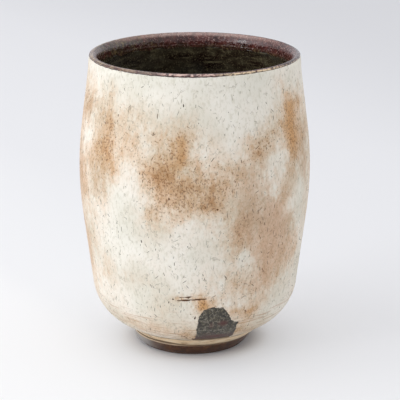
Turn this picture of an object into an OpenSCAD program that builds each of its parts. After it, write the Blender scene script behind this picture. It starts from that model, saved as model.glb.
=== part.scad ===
// Yunomi: a tall handleless tea cup, thrown in dark clay, dipped in white slip, dark glaze inside.
// The foot stands on z = 0, the cup's axis is Z and the finger mark faces the front, -Y.
// Every coat is a solid of its own that lies on the clay, as thick as the real coat.

/* [Overall size] */
// Height from the table to the crest of the lip
cup_h = 103; // [97:0.5:110]
// Radius at the belly, the widest ring of the wall
belly_r = 40; // [38.5:0.25:43]
// Height of the belly above the table
belly_z = 62.6; // [58:0.2:67]

/* [Thrown wall] */
// Radius of the bulge round the belly, between the two straight runs of the wall
bulge_r = 123; // [105:1:140]
// Lean of the straight run from the bulge up to the lip, from the upright
upper_lean_angle = 7.3; // [6.3:0.1:8.3]
// Lean of the straight run from the bulge down to the hip, from the upright
lower_lean_angle = 7.2; // [6.2:0.1:8.2]
// Thickness of the wall with its coats
wall_t = 3.4; // [3:0.1:4]
// Height of the floor inside the cup
floor_z = 10.4; // [9.8:0.1:12.5]
// Radius of the well, the inside turn from the wall to the floor
well_r = 13; // [11:0.25:15]
// Depth of the tea pool, the shallow dish in the middle of the floor
tea_pool_depth = 0.8; // [0.5:0.1:1.2]
// Radius of the tea pool's edge
tea_pool_r = 11; // [8:0.5:13]

/* [Lip] */
// Radius of the lip's outer side, from the wall up to the crest
lip_outer_r = 1.2; // [1:0.1:1.5]
// Height over which the lip slopes from the crest down to the inner wall
lip_slope_h = 4.4; // [3.6:0.1:5]

/* [Throwing rings] */
// Height of the lowest ring that the fingers left inside
ring_first_z = 29; // [26:0.5:32]
// Rise from one ring to the next
ring_pitch = 7.5; // [6:0.25:9]
// Depth of a ring in the clay
ring_depth = 0.45; // [0.3:0.05:0.6]
// Depth of a ring in the glaze, which softens it
ring_glaze_depth = 0.25; // [0.1:0.05:0.3]

/* [Hip and foot] */
// Height at which the wall turns in to the hip
hip_z = 22.1; // [21.3:0.1:23.5]
// Radius of the hip, the outside turn under the wall
hip_r = 18.1; // [17.3:0.1:18.9]
// How far below level the hip turns before the trimmed groove
hip_end_angle = 66.4; // [63:0.2:69]
// Width of the trimmed groove that ends the slip
groove_w = 0.5; // [0.3:0.05:0.8]
// Depth of the trimmed groove
groove_depth = 0.75; // [0.6:0.05:1]
// Height of the foot ring where it meets the flat underside
foot_h = 4.2; // [4.1:0.1:5.2]
// How far in the trimmed facet runs from the groove to the flat underside
facet_run = 4.25; // [3.6:0.05:4.8]
// How far inside the facet's lower edge the glazed foot stands on the table
foot_step = 1.5; // [1.4:0.1:2.6]
// How far the foot was trimmed off the cup's axis, to the left
foot_off_axis = 1.1; // [0:0.1:1.5]
// Slope of the foot's outside from the upright, so that its top stands out as a small ledge
foot_flare_angle = 37; // [28:1:38]
// Width of the foot ring on the table
foot_ring_w = 4.2; // [3.6:0.1:5]
// How much narrower the recess inside the foot is at the underside than on the table
recess_draft = 1.1; // [0.8:0.1:1.4]
// Depth of the turned dish in the underside, within the foot
recess_dish_depth = 1; // [0.5:0.1:1.5]
// Round on both edges of the foot's resting face
foot_edge_r = 0.7; // [0.4:0.05:1]

/* [Coats] */
// Thickness of the white slip outside
slip_t = 0.5; // [0.35:0.05:0.7]
// Thickness of the glaze inside
liner_t = 0.4; // [0.3:0.05:0.55]
// How far the lip glaze reaches down inside from the crest
lip_glaze_drop = 5.3; // [5.2:0.1:7]
// Radius of the rolled edge where the liner glaze stops under the lip glaze
glaze_roll_r = 0.3; // [0.2:0.05:0.45]
// Thickness of the dark glaze on the foot
foot_glaze_t = 0.4; // [0.25:0.05:0.6]
// Height at which the foot glaze was wiped off above the table
foot_wipe_z = 1; // [1:0.1:1.5]

/* [Finger mark] */
// Turn of the finger mark from the front towards the right
mark_turn = 13.3; // [0:0.5:25]
// Width of the bare window that the finger kept free of slip
mark_w = 12.4; // [10:0.2:14]
// Height of the top of the window's round end
mark_top_z = 23; // [21:0.25:25]
// How much wider each side of the window is at the groove
mark_spread = 0.8; // [0.2:0.1:1.4]
// Radius of the small smear on the right side of the window
smear_r = 1.7; // [1.2:0.1:2.2]
// Height of the smear
smear_z = 15.6; // [14.5:0.1:16.5]
// Thickness of the glaze in the window, thinner than the slip
mark_glaze_t = 0.3; // [0.15:0.05:0.3]

/* [Tool drags] */
// Length of the upper straight drag in the slip
upper_drag_l = 7.5; // [5:0.25:9]
// Height of the upper drag
upper_drag_z = 27.4; // [27:0.1:29]
// Turn of the upper drag from the front towards the left
upper_drag_turn = 4.2; // [0:0.2:8]
// Length of the lower straight drag in the slip
lower_drag_l = 10.5; // [8:0.25:11]
// Height of the lower drag
lower_drag_z = 26.2; // [25.2:0.1:26.6]
// Turn of the lower drag from the front towards the left
lower_drag_turn = 0.6; // [0:0.2:4]
// Rise of both drags towards the right
drag_rise_angle = 4.6; // [0:0.2:7]
// Half the diagonal of the square tool that made the drags
drag_tool_r = 0.6; // [0.45:0.05:0.8]

/* [Hidden] */

// Smoothness: sides of a full turn and of a small round, and the sides of the square tool
turn_fn = 180;
round_fn = 96;
square_fn = 4;
// Steps along the outlines, in degrees for arcs and in steps a ring for the inside
bulge_step = 1;
hip_step = 3.5;
lip_step = 9;
edge_step = 9;
ring_steps = 8;
// How far a cut runs past what it cuts
overrun = 1;

// A step of one unit at an angle from level
function heading(angle) = [cos(angle), sin(angle)];

// Points along an arc, without its last one, which starts the next stretch
function arc(centre, r, from, to, step) =
    let (n = ceil(abs(to - from) / step))
    [for (i = [0 : n - 1]) centre + r * heading(from + (to - from) * i / n)];

function backwards(points) = [for (i = [len(points) - 1 : -1 : 0]) points[i]];

// The wall is a bulge with a straight run above it and below it, both tangent to it
bulge_c = [belly_r - bulge_r, belly_z];
function bulge_top(depth) = bulge_c + (bulge_r - depth) * heading(upper_lean_angle);
function bulge_foot(depth) = bulge_c + (bulge_r - depth) * heading(-lower_lean_angle);

// Radius of the wall at a height above the hip, at a depth under its surface
function wall_r_at(z, depth) =
    z > bulge_top(depth).y ? bulge_top(depth).x - (z - bulge_top(depth).y) * tan(upper_lean_angle)
    : z < bulge_foot(depth).y ? bulge_foot(depth).x - (bulge_foot(depth).y - z) * tan(lower_lean_angle)
    : bulge_c.x + sqrt(pow(bulge_r - depth, 2) - pow(z - belly_z, 2));

// Centre of the hip, tangent to the lower run
hip_c = [wall_r_at(hip_z, 0), hip_z] - hip_r * heading(-lower_lean_angle);

// Centre of the well, tangent to the inner wall and to the floor
well_c = [wall_r_at(floor_z + well_r, wall_t + well_r), floor_z + well_r];

// Centre of the lip's outer round, tangent to the upper run and to the crest
lip_c = [wall_r_at(cup_h - lip_outer_r, lip_outer_r), cup_h - lip_outer_r];
lip_foot_z = cup_h - lip_slope_h;
lip_glaze_z = cup_h - lip_glaze_drop;

// A radius that clears the whole cup
reach = belly_r + wall_t;

// Points at a depth under the outer surface, at the lip's end and at the hip's end
function lip_end(depth) = lip_c + (lip_outer_r - depth) * heading(upper_lean_angle);
function hip_end(depth) = hip_c + (hip_r - depth) * heading(-hip_end_angle);

// Radii of the underside, of the foot on the table and of the recess inside it
facet_r = hip_end(0).x - facet_run;
foot_r = facet_r - foot_step;
recess_r = foot_r - foot_ring_w;
recess_top_r = recess_r - recess_draft;

// Radius of the trimmed facet's lower edge at a depth under its surface
facet_angle = atan2(hip_end(0).y - foot_h, hip_end(0).x - facet_r);
function facet_end(depth) = [facet_r - depth / sin(facet_angle), foot_h];

// Outside outline at a depth, from the groove up to the belly and on to the lip
function foot_to_belly(depth) = concat(
    arc(hip_c, hip_r - depth, -hip_end_angle, -lower_lean_angle, hip_step),
    [hip_c + (hip_r - depth) * heading(-lower_lean_angle)],
    arc(bulge_c, bulge_r - depth, -lower_lean_angle, 0, bulge_step),
    [[belly_r - depth, belly_z]]);
function belly_to_lip(depth) = concat(
    backwards(arc(bulge_c, bulge_r - depth, upper_lean_angle, 0, bulge_step)),
    [lip_end(depth)]);
function outer_line(depth) = concat(foot_to_belly(depth), belly_to_lip(depth));

// Over the lip at a depth outside and a depth inside: a small round up to the crest, then a quarter
// of a tall ellipse, leaning as the wall leans, down to the inner wall
function lip_line(out_depth, in_depth) =
    let (fall = lip_slope_h - out_depth)
    let (run = lip_c.x + fall * tan(upper_lean_angle) - wall_r_at(lip_foot_z, wall_t - in_depth))
    concat(
        arc(lip_c, lip_outer_r - out_depth, upper_lean_angle, 90, lip_step),
        [for (turn = [0 : lip_step : 90 - lip_step])
            let (down = fall * (1 - cos(turn)))
            [lip_c.x - run * sin(turn) + down * tan(upper_lean_angle), cup_h - out_depth - down]]);

// Throwing rings: soft waves that fit between the first ring and the lip glaze
rings_from = ring_first_z - ring_pitch / 2;
ring_count = floor((lip_glaze_z - 2 * glaze_roll_r - rings_from) / ring_pitch);
rings_to = rings_from + ring_count * ring_pitch;
function ring_wave(z) =
    z <= rings_from || z >= rings_to ? 0 : (1 - cos(360 * (z - rings_from) / ring_pitch)) / 2;

// Inside outline between two heights, going down, without its last point
function inner_wall(from_z, to_z, grow, ring_cut) =
    let (n = ceil(abs(to_z - from_z) / ring_pitch * ring_steps))
    [for (i = [0 : n - 1])
        let (z = from_z + (to_z - from_z) * i / n)
        [wall_r_at(z, wall_t - grow) + ring_cut * ring_wave(z), z]];

// From the top of the well down to the middle of the floor, through the tea pool
pool_ball_r = (pow(tea_pool_r, 2) + pow(tea_pool_depth, 2)) / (2 * tea_pool_depth);
pool_angle = asin(tea_pool_r / pool_ball_r);
function well_top_z(grow) = (well_c + (well_r + grow) * heading(-lower_lean_angle)).y;
function well_and_floor(grow) = concat(
    arc(well_c, well_r + grow, -lower_lean_angle, -90, hip_step),
    [[well_c.x, floor_z - grow]],
    arc([0, floor_z - grow - tea_pool_depth + pool_ball_r], pool_ball_r, pool_angle - 90, -90, hip_step),
    [[0, floor_z - grow - tea_pool_depth]]);

// Inside of the clay from the lip glaze's edge down, where the liner glaze lies on it
function clay_inside() = concat(
    inner_wall(lip_glaze_z, well_top_z(liner_t), liner_t, ring_depth),
    well_and_floor(liner_t));

// Inside of the clay, and of its glaze, from the lip's foot down to the lip glaze's edge
function under_lip(grow) = concat(
    inner_wall(lip_foot_z, lip_glaze_z, grow, 0),
    [[wall_r_at(lip_glaze_z, wall_t - grow), lip_glaze_z]]);

// The trimmed groove, square to the hip's end
module groove_section() {
    translate(hip_end(0)) rotate(-hip_end_angle)
        translate([-groove_depth, -groove_w / 2]) square([groove_depth + overrun, groove_w]);
}

// Half section of the foot ring, up to the flat underside, with its resting edges rounded
module foot_section(outer_r) {
    out_c = [outer_r - foot_edge_r, foot_edge_r];
    in_c = [recess_r + foot_edge_r, foot_edge_r];
    polygon(concat(
        arc(in_c, foot_edge_r, 180, 270, edge_step),
        [[in_c.x, 0]],
        arc(out_c, foot_edge_r, -90, 0, edge_step),
        [[outer_r, foot_edge_r],
         [outer_r + (foot_h - foot_edge_r) * tan(foot_flare_angle), foot_h],
         [recess_top_r, foot_h]]));
}

// Window in the slip, seen from the front: a round finger end over a skirt that spreads, and a smear
module mark_window() {
    half_w = mark_w / 2;
    round_z = mark_top_z - half_w;
    translate([0, round_z]) circle(r = half_w, $fn = round_fn);
    polygon([[-half_w, round_z], [-half_w - mark_spread, 0], [half_w + mark_spread, 0], [half_w, round_z]]);
    translate([half_w, smear_z]) circle(r = smear_r, $fn = round_fn);
}

// The window carried through the front wall
module mark_cut() {
    rotate([0, 0, mark_turn]) rotate([90, 0, 0]) linear_extrude(height = reach) mark_window();
}

// A straight square edge held corner first against the round wall: it bites deepest at its middle
module drag_cut(length, z, turn) {
    r = wall_r_at(z, 0);
    bite = r - sqrt(pow(r, 2) - pow(length / 2, 2));
    rotate([0, 0, -turn]) translate([0, -(r - bite + drag_tool_r), z]) rotate([0, 90 - drag_rise_angle, 0])
        cylinder(h = length + 2 * overrun, r = drag_tool_r, center = true, $fn = square_fn);
}

// The ball whose cap is the turned dish inside the foot
module recess_dish() {
    ball_r = (pow(recess_top_r, 2) + pow(recess_dish_depth, 2)) / (2 * recess_dish_depth);
    ball_z = foot_h + recess_dish_depth - ball_r;
    edge_angle = 90 - asin(recess_top_r / ball_r);
    translate([-foot_off_axis, 0, 0]) rotate_extrude($fn = turn_fn)
        polygon(concat([[0, foot_h - overrun], [recess_top_r, foot_h - overrun]],
                       arc([0, ball_z], ball_r, edge_angle, 90, bulge_step),
                       [[0, ball_z + ball_r]]));
}

module clay_body() {
    color([0.30, 0.24, 0.20]) difference() {
        rotate_extrude($fn = turn_fn) difference() {
            polygon(concat([[0, foot_h], facet_end(slip_t)],
                           outer_line(slip_t),
                           lip_line(slip_t, liner_t),
                           under_lip(liner_t),
                           clay_inside()));
            groove_section();
        }
        recess_dish();
    }
}

module foot_ring() {
    color([0.33, 0.26, 0.21]) translate([-foot_off_axis, 0, 0])
        rotate_extrude($fn = turn_fn) foot_section(foot_r - foot_glaze_t);
}

module slip_coat() {
    color([0.90, 0.86, 0.79]) difference() {
        rotate_extrude($fn = turn_fn) difference() {
            polygon(concat(outer_line(0), backwards(outer_line(slip_t))));
            groove_section();
        }
        mark_cut();
        drag_cut(upper_drag_l, upper_drag_z, upper_drag_turn);
        drag_cut(lower_drag_l, lower_drag_z, lower_drag_turn);
    }
}

module finger_mark() {
    color([0.20, 0.21, 0.17]) intersection() {
        rotate_extrude($fn = turn_fn) difference() {
            polygon(concat(foot_to_belly(slip_t - mark_glaze_t), backwards(foot_to_belly(slip_t))));
            groove_section();
        }
        mark_cut();
    }
}

module lip_glaze() {
    color([0.32, 0.20, 0.17]) rotate_extrude($fn = turn_fn)
        polygon(concat(lip_line(0, 0), under_lip(0),
                       backwards(under_lip(liner_t)), backwards(lip_line(slip_t, liner_t))));
}

module liner_glaze() {
    roll_c = [wall_r_at(lip_glaze_z - glaze_roll_r, wall_t), lip_glaze_z - glaze_roll_r];
    color([0.13, 0.12, 0.09]) rotate_extrude($fn = turn_fn)
        polygon(concat(arc(roll_c, glaze_roll_r, 90, 270, edge_step),
                       inner_wall(lip_glaze_z - 2 * glaze_roll_r, well_top_z(0), 0, ring_glaze_depth),
                       well_and_floor(0),
                       backwards(clay_inside())));
}

module trimmed_band() {
    color([0.80, 0.68, 0.48]) rotate_extrude($fn = turn_fn) difference() {
        polygon([hip_end(0), hip_end(slip_t), facet_end(slip_t), facet_end(0)]);
        groove_section();
    }
}

module foot_glaze() {
    color([0.19, 0.12, 0.08]) translate([-foot_off_axis, 0, 0]) rotate_extrude($fn = turn_fn)
        intersection() {
            difference() {
                foot_section(foot_r);
                foot_section(foot_r - foot_glaze_t);
            }
            translate([0, foot_wipe_z]) square([reach, reach]);
        }
}

clay_body();
foot_ring();
slip_coat();
finger_mark();
lip_glaze();
liner_glaze();
trimmed_band();
foot_glaze();
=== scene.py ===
# %% [markdown]
# # A yunomi, the tall tea cup of the wheel
#
# The cup is thrown in dark clay, dipped in white slip, and glazed dark inside. Everything on it was turned, so almost
# every piece here is one outline swung round the cup's axis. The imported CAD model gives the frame: the cup stands on
# z = 0, its axis is Z, and the finger mark in the slip faces the front, which is -Y. Blender counts in metres, and the
# outlines below are written in millimetres.

# %% The fixed frame
from functools import partial
from math import cos, pi, radians, sin, tan

import bpy
import numpy as np
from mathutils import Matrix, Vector, noise


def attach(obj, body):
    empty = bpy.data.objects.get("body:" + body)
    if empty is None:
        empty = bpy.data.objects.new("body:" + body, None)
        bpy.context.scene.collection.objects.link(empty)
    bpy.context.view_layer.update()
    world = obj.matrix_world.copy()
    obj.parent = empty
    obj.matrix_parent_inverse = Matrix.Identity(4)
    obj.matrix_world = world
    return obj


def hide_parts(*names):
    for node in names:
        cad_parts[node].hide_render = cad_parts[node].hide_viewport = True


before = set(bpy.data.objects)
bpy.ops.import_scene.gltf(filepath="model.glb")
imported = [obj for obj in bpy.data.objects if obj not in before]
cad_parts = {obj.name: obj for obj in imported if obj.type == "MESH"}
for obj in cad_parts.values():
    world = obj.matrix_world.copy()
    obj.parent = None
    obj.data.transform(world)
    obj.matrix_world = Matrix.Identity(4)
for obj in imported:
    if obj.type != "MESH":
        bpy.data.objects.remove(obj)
scene = bpy.context.scene
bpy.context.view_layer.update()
MM = 0.001
print("nodes:", sorted(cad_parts))

# %% [markdown]
# ## The outline of the wall
#
# A potter pulls the wall up in one long curve. On this cup it is a long bulge round the belly, which runs out straight
# above and below it, and the whole stands on a rounder hip. The same numbers shape the CAD model. Each coat follows
# this outline at its own depth, so depth is the one thing that the functions ask for.

# %% The outline, in millimetres
BELLY_R, BELLY_Z, BULGE_R = 40.0, 62.6, 123.0
LEAN_UP, LEAN_DOWN = radians(7.3), radians(7.2)
HIP_Z, HIP_R, HIP_END = 22.1, 18.1, radians(66.4)
WALL, SLIP, LINER = 3.4, 0.5, 0.4
CREST_Z, LIP_R, LIP_SLOPE = 103.0, 1.2, 4.4
FLOOR_Z, WELL_R = 10.4, 13.0


def wall_r(z, depth=0.0):
    """Radius of the wall above the hip at a height, at a depth under its outside."""
    z, r = np.asarray(z, float), BULGE_R - depth
    low, top = BELLY_Z - r * sin(LEAN_DOWN), BELLY_Z + r * sin(LEAN_UP)
    bulge = BELLY_R - BULGE_R + np.sqrt(r ** 2 - (np.clip(z, low, top) - BELLY_Z) ** 2)
    return bulge - np.maximum(z - top, 0) * tan(LEAN_UP) - np.maximum(low - z, 0) * tan(LEAN_DOWN)


hip_c = np.array([wall_r(HIP_Z) - HIP_R * cos(LEAN_DOWN), HIP_Z + HIP_R * sin(LEAN_DOWN)])
lip_c = np.array([wall_r(CREST_Z - LIP_R, LIP_R), CREST_Z - LIP_R])
lip_end_z = lip_c[1] + LIP_R * sin(LEAN_UP)


# %% Stretches of the outline, as rows of radius and height
def arc(centre, r, start, end, count):
    """Points along an arc, both ends included."""
    turn = np.linspace(start, end, count)
    return np.c_[centre[0] + r * np.cos(turn), centre[1] + r * np.sin(turn)]


def hip_line(depth, count):
    return arc(hip_c, HIP_R - depth, -HIP_END, -LEAN_DOWN, count)


def wall_line(depth, from_z, to_z, count):
    z = np.linspace(from_z, to_z, count)
    return np.c_[wall_r(z, depth), z]


def outside_r(z):
    """Radius of the outside at a height, hip and wall together."""
    hip = hip_c[0] + np.sqrt(np.maximum(HIP_R ** 2 - (np.asarray(z, float) - hip_c[1]) ** 2, 0))
    return np.where(z < HIP_Z, hip, wall_r(z))


groove = hip_line(0, 2)[0]
print("groove at", groove.round(2), "crest at", lip_c.round(2))

# %% [markdown]
# ## A wheel made of nodes
#
# Blender has a Spin operator and a Screw modifier for turned things, but both leave a hard seam where the turn closes
# and neither can set how the columns are spread. This node tree bends a grid instead: each row is one point of the
# outline, each column one direction. It crowds the columns at the front, where the fine edges are, adds the slight
# wobble and the faint lines of a hand-turned pot, and closes the seam and the poles at the end.


# %% A short way to add nodes
def add(tree, kind, feeds=(), **settings):
    """Adds a node. feeds gives its inputs, by name or number, a value or another node's output."""
    node = tree.nodes.new(kind)
    for name, value in settings.items():
        setattr(node, name, value)
    for key, value in dict(feeds).items():
        if isinstance(value, bpy.types.Node):
            value = value.outputs[0]
        if isinstance(value, bpy.types.NodeSocket):
            tree.links.new(value, node.inputs[key])
        else:
            node.inputs[key].default_value = value
    return node


def maths(tree, operation, a, b=None, c=None):
    feeds = {i: v for i, v in enumerate((a, b, c)) if v is not None}
    return add(tree, "ShaderNodeMath", feeds, operation=operation).outputs[0]


# %% The start and the end of a geometry tree
def node_tree(name, sizes):
    """An empty geometry tree whose named inputs are the given sizes."""
    tree = bpy.data.node_groups.new(name, "GeometryNodeTree")
    kinds = {int: "NodeSocketInt", float: "NodeSocketFloat", str: "NodeSocketMaterial"}
    tree.interface.new_socket("Geometry", in_out="INPUT", socket_type="NodeSocketGeometry")
    for label, value in sizes.items():
        socket = tree.interface.new_socket(label, in_out="INPUT", socket_type=kinds[type(value)])
        if not isinstance(value, str):
            socket.default_value = value
    tree.interface.new_socket("Geometry", in_out="OUTPUT", socket_type="NodeSocketGeometry")
    return tree, tree.nodes.new("NodeGroupInput").outputs


def finish_tree(tree, geometry, material):
    """Real meshes and the material come last, because the export drops instances."""
    real = add(tree, "GeometryNodeRealizeInstances", {0: geometry})
    painted = add(tree, "GeometryNodeSetMaterial", {0: real, "Material": material})
    add(tree, "NodeGroupOutput", {0: painted})


# %% The wheel: where each point of the grid belongs
wheel, given = node_tree("potters_wheel", {
    "Columns": 360, "Crowding": 0.0, "Off axis": 0.0, "Wobble": 0.0, "Wobble size": 30.0,
    "Lines": 0.0, "Line pitch": 1.2 * MM, "Seed": 7.0, "Material": ""})
put, calc = partial(add, wheel), partial(maths, wheel)
position = put("GeometryNodeInputPosition")
rows = put("GeometryNodeAttributeDomainSize", {0: given["Geometry"]}).outputs["Point Count"]
grid = put("GeometryNodeMeshGrid", {"Vertices Y": rows, "Vertices X": calc("ADD", given["Columns"], 1)})
place = put("ShaderNodeSeparateXYZ", {0: position})
row = calc("ROUND", calc("MULTIPLY", calc("ADD", place.outputs["Y"], 0.5), calc("SUBTRACT", rows, 1)))
outline = put("ShaderNodeSeparateXYZ", {0: put("GeometryNodeSampleIndex", {
    "Geometry": given["Geometry"], "Value": position, "Index": row}, data_type="FLOAT_VECTOR")})
turn = calc("MULTIPLY", place.outputs["X"], 2 * pi)
turn = calc("SUBTRACT", turn, calc("MULTIPLY", calc("SINE", turn), given["Crowding"]))
east, south = calc("SINE", turn), calc("MULTIPLY", calc("COSINE", turn), -1.0)


def swung(radius, shift=0.0):
    """The place of a grid point when its outline point stands at that radius."""
    return put("ShaderNodeCombineXYZ", {
        0: calc("ADD", calc("MULTIPLY", radius, east), shift),
        1: calc("MULTIPLY", radius, south), 2: outline.outputs["Z"]})


# %% The wheel: wobble, lines and a closed seam
STEADY_R, SEAM = 6 * MM, 0.004 * MM
wave = put("ShaderNodeTexNoise", {
    "Vector": swung(outline.outputs["X"]), "W": given["Seed"], "Scale": given["Wobble size"], "Detail": 1.0},
    noise_dimensions="4D")
lines = put("ShaderNodeTexNoise", {
    "W": calc("DIVIDE", outline.outputs["Z"], given["Line pitch"]), "Scale": 1.0}, noise_dimensions="1D")
push = calc("MULTIPLY", calc("SUBTRACT", wave, 0.5), calc("MULTIPLY", given["Wobble"], 2.0))
push = calc("MULTIPLY_ADD", calc("SUBTRACT", lines, 0.5), given["Lines"], push)
off_pole = put("ShaderNodeMapRange", {0: outline.outputs["X"], 2: STEADY_R})
radius = calc("MULTIPLY_ADD", push, off_pole, outline.outputs["X"])
thrown = put("GeometryNodeSetPosition", {0: grid, "Position": swung(radius, given["Off axis"])})
closed = put("GeometryNodeMergeByDistance", {0: thrown, "Distance": SEAM})
finish_tree(wheel, put("GeometryNodeSetShadeSmooth", {0: closed}), given["Material"])
print("the wheel has", len(wheel.nodes), "nodes")

# %% [markdown]
# ## Throwing a piece
#
# The outline goes in as a line of points, and the tree gives back the turned surface. Its inputs are set by each
# socket's identifier, because two inputs may share a name. The result is then copied to a plain mesh, because the
# export and the vertex work below both need real vertices.


# %% From an outline to a plain mesh
def run_tree(piece, tree, finish, **sizes):
    """Runs a tree on a piece and keeps the result. Each size is one of the tree's inputs: line_pitch is Line pitch."""
    modifier = piece.modifiers.new(tree.name, "NODES")
    modifier.node_group = tree
    sockets = {s.name: s.identifier for s in tree.interface.items_tree if s.in_out == "INPUT"}
    modifier[sockets["Material"]] = finish.material
    for label, value in sizes.items():
        modifier[sockets[label.replace("_", " ").capitalize()]] = value
    mesh = bpy.data.meshes.new_from_object(piece.evaluated_get(bpy.context.evaluated_depsgraph_get()))
    piece.modifiers.remove(modifier)
    piece.data = mesh
    mesh.name = piece.name


def new_piece(name, points, edges=(), faces=()):
    mesh = bpy.data.meshes.new(name)
    mesh.from_pydata(points, edges, faces)
    piece = bpy.data.objects.new(name, mesh)
    scene.collection.objects.link(piece)
    return piece


def throw(name, stretches, finish, **sizes):
    """Turns a closed outline, stretches of radius and height in millimetres, into a piece."""
    line = np.vstack([*stretches, stretches[0][:1]])
    points = np.c_[line[:, 0], np.zeros(len(line)), line[:, 1]] * MM
    piece = new_piece(name, points, [(i, i + 1) for i in range(len(points) - 1)])
    run_tree(piece, wheel, finish, **sizes)
    triangles = sum(len(p.vertices) - 2 for p in piece.data.polygons)
    print(f"{name}: {len(piece.data.vertices)} vertices, {triangles} triangles")
    return piece


# %% Working on a piece's vertices
def places(piece):
    """Every vertex as turn from the front in degrees, radius and height in millimetres, with its x, y, z."""
    co = np.empty(len(piece.data.vertices) * 3)
    piece.data.vertices.foreach_get("co", co)
    co = co.reshape(-1, 3) / MM
    return np.degrees(np.arctan2(co[:, 0], -co[:, 1])), np.hypot(co[:, 0], co[:, 1]), co[:, 2], co


def set_places(piece, co):
    piece.data.vertices.foreach_set("co", (co * MM).ravel())
    piece.data.update()


def stain(piece, name, values):
    """Keeps a value from 0 to 1 on every vertex, for the material to read."""
    layer = piece.data.attributes.new(name, "FLOAT", "POINT")
    layer.data.foreach_set("value", np.clip(values, 0, 1).astype(np.float32))


def outward(co):
    """The level direction away from the axis at each point."""
    return co * [1, 1, 0] / np.maximum(np.hypot(co[:, 0], co[:, 1]), 1)[:, None]


# %% Soft steps, lumps and patches
def ease(x, low, high):
    """Goes smoothly from 0 at low to 1 at high."""
    t = np.clip((x - low) / (high - low), 0, 1)
    return t * t * (3 - 2 * t)


def cloud(co, size, seed, octaves=2, stretch=1.0):
    """Smooth noise from about -1 to 1 at each point, with lumps about size millimetres across."""
    scale = np.array([1, 1, 1 / stretch]) / size
    offset = Vector((seed * 7.31, seed * -3.17, seed * 5.53))
    return np.array([noise.fractal(Vector(p) + offset, 1.0, 2.0, octaves) for p in co * scale])


def ovals(patches, turn, z, power=1.0):
    """How much each place is covered by soft ovals, from 0 to 1."""
    left = np.ones(len(turn))
    for at, height, half_w, half_h, strength in patches:
        away = (turn - at + 180) % 360 - 180
        left *= 1 - strength * np.exp(-((away / half_w) ** 2 + ((z - height) / half_h) ** 2) ** power * 0.9)
    return 1 - left


# %% [markdown]
# ## Paint
#
# Every finish is a Principled shader whose colour, roughness and bump come from noise on Object coordinates and from
# the values kept on the vertices, because a painted picture would show its pixels close by. The colour starts from a
# base and is built up in layers: one colour over another, through a mask.


# %% Helpers for finishes
def colour(hex_code):
    """A colour as it is written on screen, turned into the linear values that a shader takes."""
    parts = [int(hex_code[i:i + 2], 16) / 255 for i in (0, 2, 4)]
    return (*[c / 12.92 if c <= 0.04045 else ((c + 0.055) / 1.055) ** 2.4 for c in parts], 1.0)


class Finish:
    """A material under construction, with the few things that ceramic needs."""

    def __init__(self, name, **constants):
        self.material = bpy.data.materials.new(name)
        self.material.use_nodes = True
        self.tree = self.material.node_tree
        self.shader = self.tree.nodes["Principled BSDF"]
        self.put, self.do = partial(add, self.tree), partial(maths, self.tree)
        self.spot = self.put("ShaderNodeTexCoord").outputs["Object"]
        self.set(**constants)

    def set(self, **feeds):
        """Sets inputs of the shader to plain values or to what nodes give out."""
        for label, value in feeds.items():
            socket = self.shader.inputs[label.replace("_", " ")]
            if isinstance(value, bpy.types.NodeSocket):
                self.tree.links.new(value, socket)
            else:
                socket.default_value = value

    def value(self, name):
        return self.put("ShaderNodeAttribute", attribute_name=name).outputs["Fac"]

    def noise(self, size, detail=2.0, rough=0.5, stretch=(1, 1, 1), distortion=0.0, shift=0.0):
        """Noise with lumps about size millimetres across, stretched along x, y, z."""
        scaled = self.put("ShaderNodeMapping", {
            "Vector": self.spot, "Scale": [1 / s for s in stretch], "Location": (shift, shift, shift)})
        return self.put("ShaderNodeTexNoise", {
            "Vector": scaled, "Scale": 1000 / size, "Detail": detail, "Roughness": rough,
            "Distortion": distortion}).outputs[0]

    def cracks(self, size, width, bend, stretch=(1, 1, 1)):
        """Thin wavy lines between cells, with all three sizes in millimetres."""
        wave = self.put("ShaderNodeTexNoise", {"Vector": self.spot, "Scale": 1000 / (0.4 * size)})
        bent = self.put("ShaderNodeVectorMath", {0: wave.outputs["Color"], 1: [bend * MM] * 3, 2: self.spot},
                        operation="MULTIPLY_ADD")
        scaled = self.put("ShaderNodeMapping", {"Vector": bent, "Scale": [1 / s for s in stretch]})
        edges = self.put("ShaderNodeTexVoronoi", {"Vector": scaled, "Scale": 1000 / size}, feature="DISTANCE_TO_EDGE")
        return self.span(edges.outputs["Distance"], 0.2 * width / size, 0.7 * width / size, 1.0, 0.0)

    def span(self, x, low, high, to_low=0.0, to_high=1.0):
        return self.put("ShaderNodeMapRange", {0: x, 1: low, 2: high, 3: to_low, 4: to_high},
                        interpolation_type="SMOOTHSTEP").outputs[0]

    def times(self, a, b):
        return self.do("MULTIPLY", a, b)

    def sway(self, x, by, start=0.0):
        """Start, swayed up and down by a noise."""
        return self.do("MULTIPLY_ADD", self.do("SUBTRACT", x, 0.5), by, start)

    def ramp(self, x, *stops):
        """Colours along a value: pairs of place and colour."""
        node = self.put("ShaderNodeValToRGB", {0: x})
        line = node.color_ramp.elements
        while len(line) < len(stops):
            line.new(0.5)
        for stop, (where, shade) in zip(line, stops):
            stop.position, stop.color = where, colour(shade)
        return node.outputs[0]

    def lay(self, shade, mask, how="MIX"):
        """Lays a colour over the base where the mask is 1. The mask may be the name of a stain."""
        mask = self.value(mask) if isinstance(mask, str) else mask
        self.base = self.put("ShaderNodeMix", {0: mask, 6: self.base, 7: colour(shade)}, data_type="RGBA",
                             blend_type=how).outputs[2]

    def bumps(self, *layers):
        """Bump layers, each a height from 0 to 1 and its depth in millimetres."""
        normal = None
        for height, depth in layers:
            feeds = {"Height": height, "Distance": depth * MM}
            if normal is not None:
                feeds["Normal"] = normal
            normal = self.put("ShaderNodeBump", feeds).outputs[0]
        self.set(Normal=normal)

    def done(self):
        self.set(Base_Color=self.base)
        print("finish", self.material.name, "has", len(self.tree.nodes), "nodes")


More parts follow.
